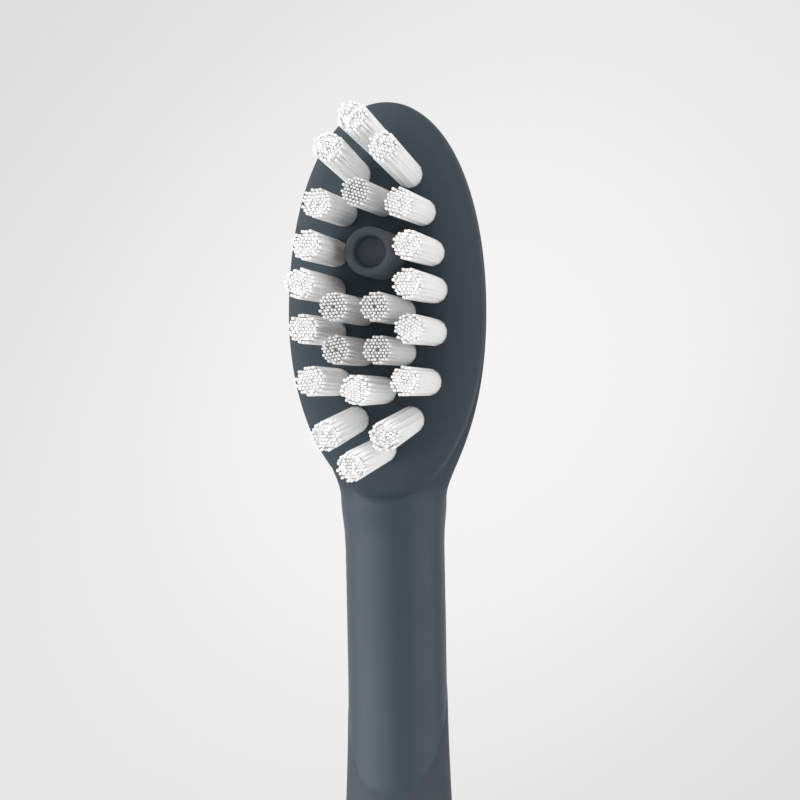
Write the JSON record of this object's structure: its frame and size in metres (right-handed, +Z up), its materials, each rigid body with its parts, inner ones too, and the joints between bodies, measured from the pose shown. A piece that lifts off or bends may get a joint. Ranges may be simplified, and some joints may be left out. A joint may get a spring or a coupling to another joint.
{
  "type": "electric toothbrush",
  "caption": "Slim upright sonic toothbrush: sealed round handle with a press button, a swinging drive shaft and a pull-off oval brush head with bristle tufts.",
  "frame": {"origin": "centre of the flat base face, on the axis of the drive shaft", "axes": "+Z up the handle and the drive shaft to the brush head's tip; -Y the way the bristles and the button face"},
  "size_m": [0.026, 0.0305, 0.2399],
  "materials": {
    "slate_plastic": "satin moulded, dark slate blue",
    "light_slate_plastic": "satin moulded, mid slate",
    "button_plastic": "satin moulded",
    "slate_elastomer": "soft matte",
    "black_rubber": "soft matte",
    "white_nylon": "drawn filament, white",
    "grey_nylon": "drawn filament, light grey",
    "white_acetal": "moulded",
    "frame_plastic": "moulded",
    "sintered_bronze": "sintered, oiled",
    "steel": "ground",
    "laminated_iron": "stamped laminations",
    "nickel_plate": "nickel plated",
    "copper_winding": "enamelled wire",
    "plated_brass": "stamped strip",
    "ferrite": "sintered, dark grey",
    "board": "glass-epoxy board with green mask",
    "chip_package": "moulded package",
    "cell_sleeve": "shrink sleeve over steel can",
    "frosted_lens": "frosted clear moulding"
  },
  "bodies": {
    "handle": {"handle_housing": "slate_plastic", "nose_trim_ring": "light_slate_plastic", "shaft_seal": "black_rubber", "base_cap": "light_slate_plastic", "cap_o_ring": "black_rubber", "charging_coil": "copper_winding", "charging_core": "ferrite", "chassis": "frame_plastic", "battery_cell": "cell_sleeve", "lower_contact": "plated_brass", "upper_contact": "plated_brass", "circuit_board": "board", "control_chip": "chip_package", "lamp_chip": "frosted_lens", "light_pin": "frosted_lens", "switch_body": "steel", "motor_case": "steel", "stator_core": "laminated_iron", "drive_coil": "copper_winding", "rear_bearing_plate": "sintered_bronze", "front_bearing_plate": "sintered_bronze", "motor_damper": "black_rubber"},
    "drive": {"drive_shaft": "steel", "rotor_yoke": "laminated_iron", "magnet_left": "nickel_plate", "magnet_right": "nickel_plate"},
    "brush_head": {"brush_head_shell": "slate_plastic", "polishing_cup": "slate_elastomer", "shaft_socket": "white_acetal", "socket_clip": "steel", "colour_ring": "light_slate_plastic", "tuft_01": "white_nylon", "tuft_02": "white_nylon", "tuft_03": "white_nylon", "tuft_04": "grey_nylon", "tuft_05": "white_nylon", "tuft_06": "white_nylon", "tuft_07": "white_nylon", "tuft_08": "white_nylon", "tuft_09": "white_nylon", "tuft_10": "white_nylon", "tuft_11": "grey_nylon", "tuft_12": "grey_nylon", "tuft_13": "white_nylon", "tuft_14": "white_nylon", "tuft_15": "grey_nylon", "tuft_16": "grey_nylon", "tuft_17": "white_nylon", "tuft_18": "white_nylon", "tuft_19": "white_nylon", "tuft_20": "white_nylon", "tuft_21": "white_nylon", "tuft_22": "white_nylon"},
    "button": {"power_button": "button_plastic"},
    "plunger": {"switch_plunger": "button_plastic"}
  },
  "joints": [
    {"name": "shaft_swing", "type": "hinge", "parent": "handle", "child": "drive", "pos_m": [0, 0, 0.12], "axis": [0, 0, 1], "range_deg": [-6, 6], "stiffness_Nm_per_rad": 0.004},
    {"name": "brush_pull", "type": "slide", "parent": "drive", "child": "brush_head", "axis": [0, 0, 1], "range_m": [0, 0.024]},
    {"name": "button_press", "type": "slide", "parent": "handle", "child": "button", "axis": [0, 1, 0], "range_m": [0, 0.0003], "stiffness_N_per_m": 60},
    {"name": "plunger_press", "type": "slide", "parent": "handle", "child": "plunger", "axis": [0, 1, 0], "range_m": [0, 0.0003]}
  ],
  "couplings": [
    {"joint": "plunger_press", "follows": "button_press", "ratio": 1}
  ]
}
